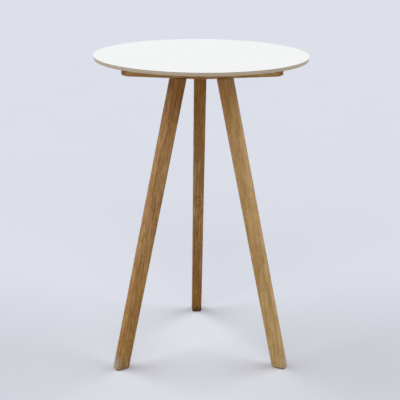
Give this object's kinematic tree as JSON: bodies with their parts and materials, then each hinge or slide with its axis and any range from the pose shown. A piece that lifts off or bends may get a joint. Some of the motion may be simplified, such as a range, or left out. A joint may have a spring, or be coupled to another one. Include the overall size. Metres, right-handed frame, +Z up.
{
  "type": "standing meeting table",
  "caption": "Round standing-height meeting table with a thin white laminated top, tapered oak bearers under it in a star, and splayed solid oak legs on dark glides.",
  "frame": {"origin": "on the floor under the middle of the round top", "axes": "+Z up; +Y towards the rear leg, so the picture looks from -Y; +X to the right in the picture"},
  "size_m": [0.7, 0.7, 1.05],
  "materials": {
    "white_laminate": "satin white high-pressure laminate",
    "backer_laminate": "matt off-white balancing laminate",
    "birch_plywood": "lacquered plywood, bare at the rim",
    "oak": "oiled solid oak",
    "beech": "plain beech dowel",
    "zinc_steel": "bright zinc-plated steel",
    "dark_nylon": "moulded dark nylon"
  },
  "bodies": {
    "root": {"top_laminate": "white_laminate", "top_core": "birch_plywood", "top_backer": "backer_laminate", "bearer_rear": "oak", "bearer_left": "oak", "bearer_right": "oak", "leg_rear": "oak", "leg_left": "oak", "leg_right": "oak", "mitre_dowel_upper_rear_left": "beech", "mitre_dowel_upper_left_right": "beech", "mitre_dowel_upper_right_rear": "beech", "mitre_dowel_lower_rear_left": "beech", "mitre_dowel_lower_left_right": "beech", "mitre_dowel_lower_right_rear": "beech", "leg_dowel_inner_rear": "beech", "leg_dowel_inner_left": "beech", "leg_dowel_inner_right": "beech", "leg_dowel_outer_rear": "beech", "leg_dowel_outer_left": "beech", "leg_dowel_outer_right": "beech", "leg_bolt_rear": "zinc_steel", "leg_bolt_left": "zinc_steel", "leg_bolt_right": "zinc_steel", "leg_bolt_washer_rear": "zinc_steel", "leg_bolt_washer_left": "zinc_steel", "leg_bolt_washer_right": "zinc_steel", "leg_insert_rear": "zinc_steel", "leg_insert_left": "zinc_steel", "leg_insert_right": "zinc_steel", "top_screw_inner_rear": "zinc_steel", "top_screw_inner_left": "zinc_steel", "top_screw_inner_right": "zinc_steel", "top_screw_outer_rear": "zinc_steel", "top_screw_outer_left": "zinc_steel", "top_screw_outer_right": "zinc_steel", "foot_glide_rear": "dark_nylon", "foot_glide_left": "dark_nylon", "foot_glide_right": "dark_nylon", "glide_nail_rear": "zinc_steel", "glide_nail_left": "zinc_steel", "glide_nail_right": "zinc_steel"}
  },
  "joints": []
}
